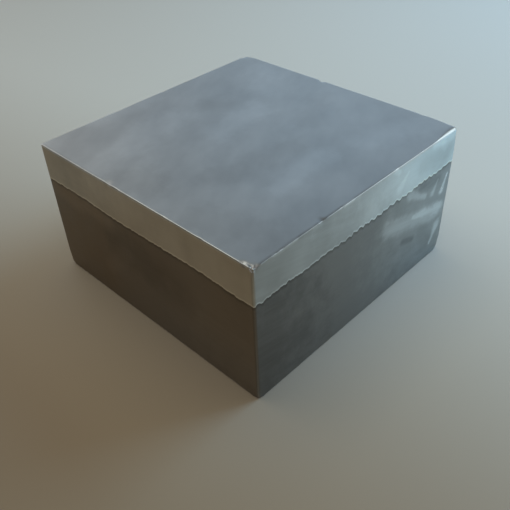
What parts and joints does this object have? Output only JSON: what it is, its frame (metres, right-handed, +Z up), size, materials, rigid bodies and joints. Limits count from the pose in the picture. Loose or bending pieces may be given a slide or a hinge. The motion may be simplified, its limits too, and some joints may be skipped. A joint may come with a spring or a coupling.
{
  "type": "clad metal plate",
  "caption": "Square block of clad plate stock: an aluminium plate bonded on a thicker steel base along a wavy bond line, used to weld aluminium to steel.",
  "frame": {"origin": "centre of the underside of the steel base", "axes": "+Z up through the thickness, from the steel to the aluminium; +X along the front face, +Y from the front face to the back"},
  "size_m": [0.1, 0.1, 0.0515],
  "materials": {
    "aluminium": "sawn and wiped, dull with burnished smears",
    "steel": "sawn, dark and dull with faint wiped smears"
  },
  "bodies": {
    "root": {"aluminium_cladding": "aluminium", "steel_base": "steel"}
  },
  "joints": []
}
